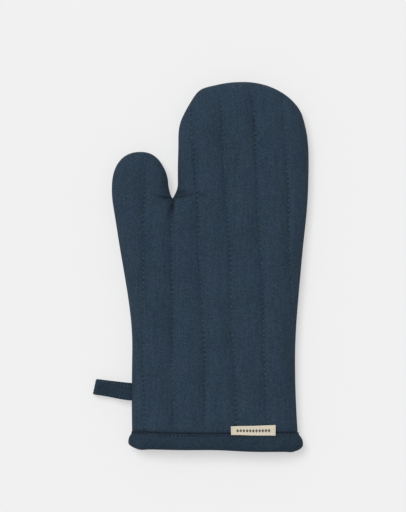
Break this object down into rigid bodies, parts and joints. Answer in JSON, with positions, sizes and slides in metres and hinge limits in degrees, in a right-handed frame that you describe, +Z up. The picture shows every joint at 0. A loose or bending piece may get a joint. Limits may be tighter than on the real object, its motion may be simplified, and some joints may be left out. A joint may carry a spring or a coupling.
{
  "type": "oven mitt",
  "caption": "Quilted fabric oven mitt with a separate thumb, a bound cuff, a woven label patch and a side hanging loop, lying flat.",
  "frame": {"origin": "under the middle of the mitt's outline, hanging loop included, on the surface it lies on", "axes": "+Z up from the surface the mitt lies on, +Y from the cuff towards the fingertips, +X away from the thumb"},
  "size_m": [0.1966, 0.34, 0.0245],
  "materials": {
    "outer_fabric": "dark slate plain-weave cotton, matt",
    "batting": "white heat-proof wadding",
    "lining_fabric": "slate plain-weave cotton, matt",
    "seam_allowance": "pressed cloth edges sewn together",
    "thread": "slate polyester sewing thread",
    "binding_fabric": "folded strip of the outer cloth",
    "label_weave": "cream woven label, dense satin weave",
    "label_thread": "cream sewing thread",
    "loop_tape": "folded strip of the outer cloth"
  },
  "bodies": {
    "hand": {"outer_front_hand": "outer_fabric", "batting_front_hand": "batting", "lining_front_hand": "lining_fabric", "outer_back_hand": "outer_fabric", "batting_back_hand": "batting", "lining_back_hand": "lining_fabric", "side_seam_hand": "seam_allowance", "quilt_thread_front_hand": "thread", "quilt_thread_back_hand": "thread", "cuff_binding": "binding_fabric", "cuff_thread": "thread", "woven_label": "label_weave", "label_thread": "label_thread", "loop_ends": "loop_tape"},
    "fingers": {"outer_front_fingers": "outer_fabric", "batting_front_fingers": "batting", "lining_front_fingers": "lining_fabric", "outer_back_fingers": "outer_fabric", "batting_back_fingers": "batting", "lining_back_fingers": "lining_fabric", "side_seam_fingers": "seam_allowance", "quilt_thread_front_fingers": "thread", "quilt_thread_back_fingers": "thread"},
    "thumb": {"outer_front_thumb": "outer_fabric", "batting_front_thumb": "batting", "lining_front_thumb": "lining_fabric", "outer_back_thumb": "outer_fabric", "batting_back_thumb": "batting", "lining_back_thumb": "lining_fabric", "side_seam_thumb": "seam_allowance", "quilt_thread_front_thumb": "thread", "quilt_thread_back_thumb": "thread"},
    "loop": {"hanging_loop": "loop_tape", "loop_thread": "thread"}
  },
  "joints": [
    {"name": "finger_fold", "type": "hinge", "parent": "hand", "child": "fingers", "pos_m": [0.03833, 0.0632, 0.024], "axis": [1, 0, 0], "range_deg": [0, 60], "stiffness_Nm_per_rad": 0.1},
    {"name": "thumb_fold", "type": "hinge", "parent": "hand", "child": "thumb", "pos_m": [-0.05517, 0.0585, 0.024], "axis": [0.9874, 0.158, 0], "range_deg": [0, 50], "stiffness_Nm_per_rad": 0.04},
    {"name": "loop_swing", "type": "hinge", "parent": "hand", "child": "loop", "pos_m": [-0.06626, -0.113, 0.012], "axis": [0.1219, 0.9925, 0], "range_deg": [0, 105]}
  ]
}
